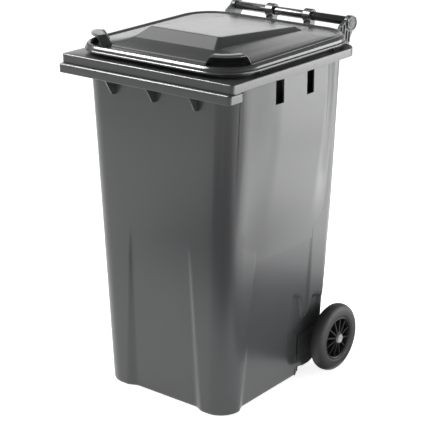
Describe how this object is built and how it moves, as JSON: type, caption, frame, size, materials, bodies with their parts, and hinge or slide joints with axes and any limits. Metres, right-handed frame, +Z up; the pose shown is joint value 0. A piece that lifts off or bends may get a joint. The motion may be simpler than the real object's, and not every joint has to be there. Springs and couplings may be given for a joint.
{
  "type": "wheelie bin",
  "caption": "Tall tapered refuse container with a hinged domed lid, a comb-lift rim, a rear handle bar that is also the hinge, and spoked wheels on a rear axle.",
  "frame": {"origin": "on the floor, at the centre of the footprint of the whole bin", "axes": "+Z up, the comb bar and the free edge of the lid face -Y, the handle and the wheels are at +Y, +X is to the right"},
  "size_m": [0.58, 0.69, 1.023],
  "materials": {
    "body_plastic": "moulded polyethylene, anthracite, fine satin grain",
    "lid_plastic": "moulded polyethylene, anthracite, semi-gloss",
    "handle_plastic": "smooth black-grey tube, semi-gloss",
    "cap_plastic": "moulded, ribbed",
    "wheel_plastic": "moulded polypropylene, black",
    "hub_cap_plastic": "light grey, smooth",
    "black_plastic": "moulded, black",
    "tyre": "solid rubber, matt",
    "rubber": "soft rubber",
    "steel": "zinc plated"
  },
  "bodies": {
    "container": {"tub": "body_plastic", "chip_nest_cap": "black_plastic", "handle_tube": "handle_plastic", "handle_end_cap_left": "cap_plastic", "handle_end_cap_right": "cap_plastic", "axle": "steel", "spacer_washer_left": "steel", "spacer_washer_right": "steel", "retaining_ring_left": "steel", "retaining_ring_right": "steel"},
    "lid": {"lid": "lid_plastic", "lid_buffers": "rubber"},
    "wheel_left": {"wheel_disc_left": "wheel_plastic", "tyre_left": "tyre", "hub_bush_left": "black_plastic", "hub_cap_left": "hub_cap_plastic"},
    "wheel_right": {"wheel_disc_right": "wheel_plastic", "tyre_right": "tyre", "hub_bush_right": "black_plastic", "hub_cap_right": "hub_cap_plastic"}
  },
  "joints": [
    {"name": "lid_hinge", "type": "hinge", "parent": "container", "child": "lid", "pos_m": [0, 0.311, 0.997], "axis": [-1, 0, 0], "range_deg": [0, 270]},
    {"name": "wheel_left_spin", "type": "hinge", "parent": "container", "child": "wheel_left", "pos_m": [-0.26, 0.177, 0.1], "axis": [1, 0, 0], "continuous": true},
    {"name": "wheel_right_spin", "type": "hinge", "parent": "container", "child": "wheel_right", "pos_m": [0.26, 0.177, 0.1], "axis": [1, 0, 0], "continuous": true}
  ]
}
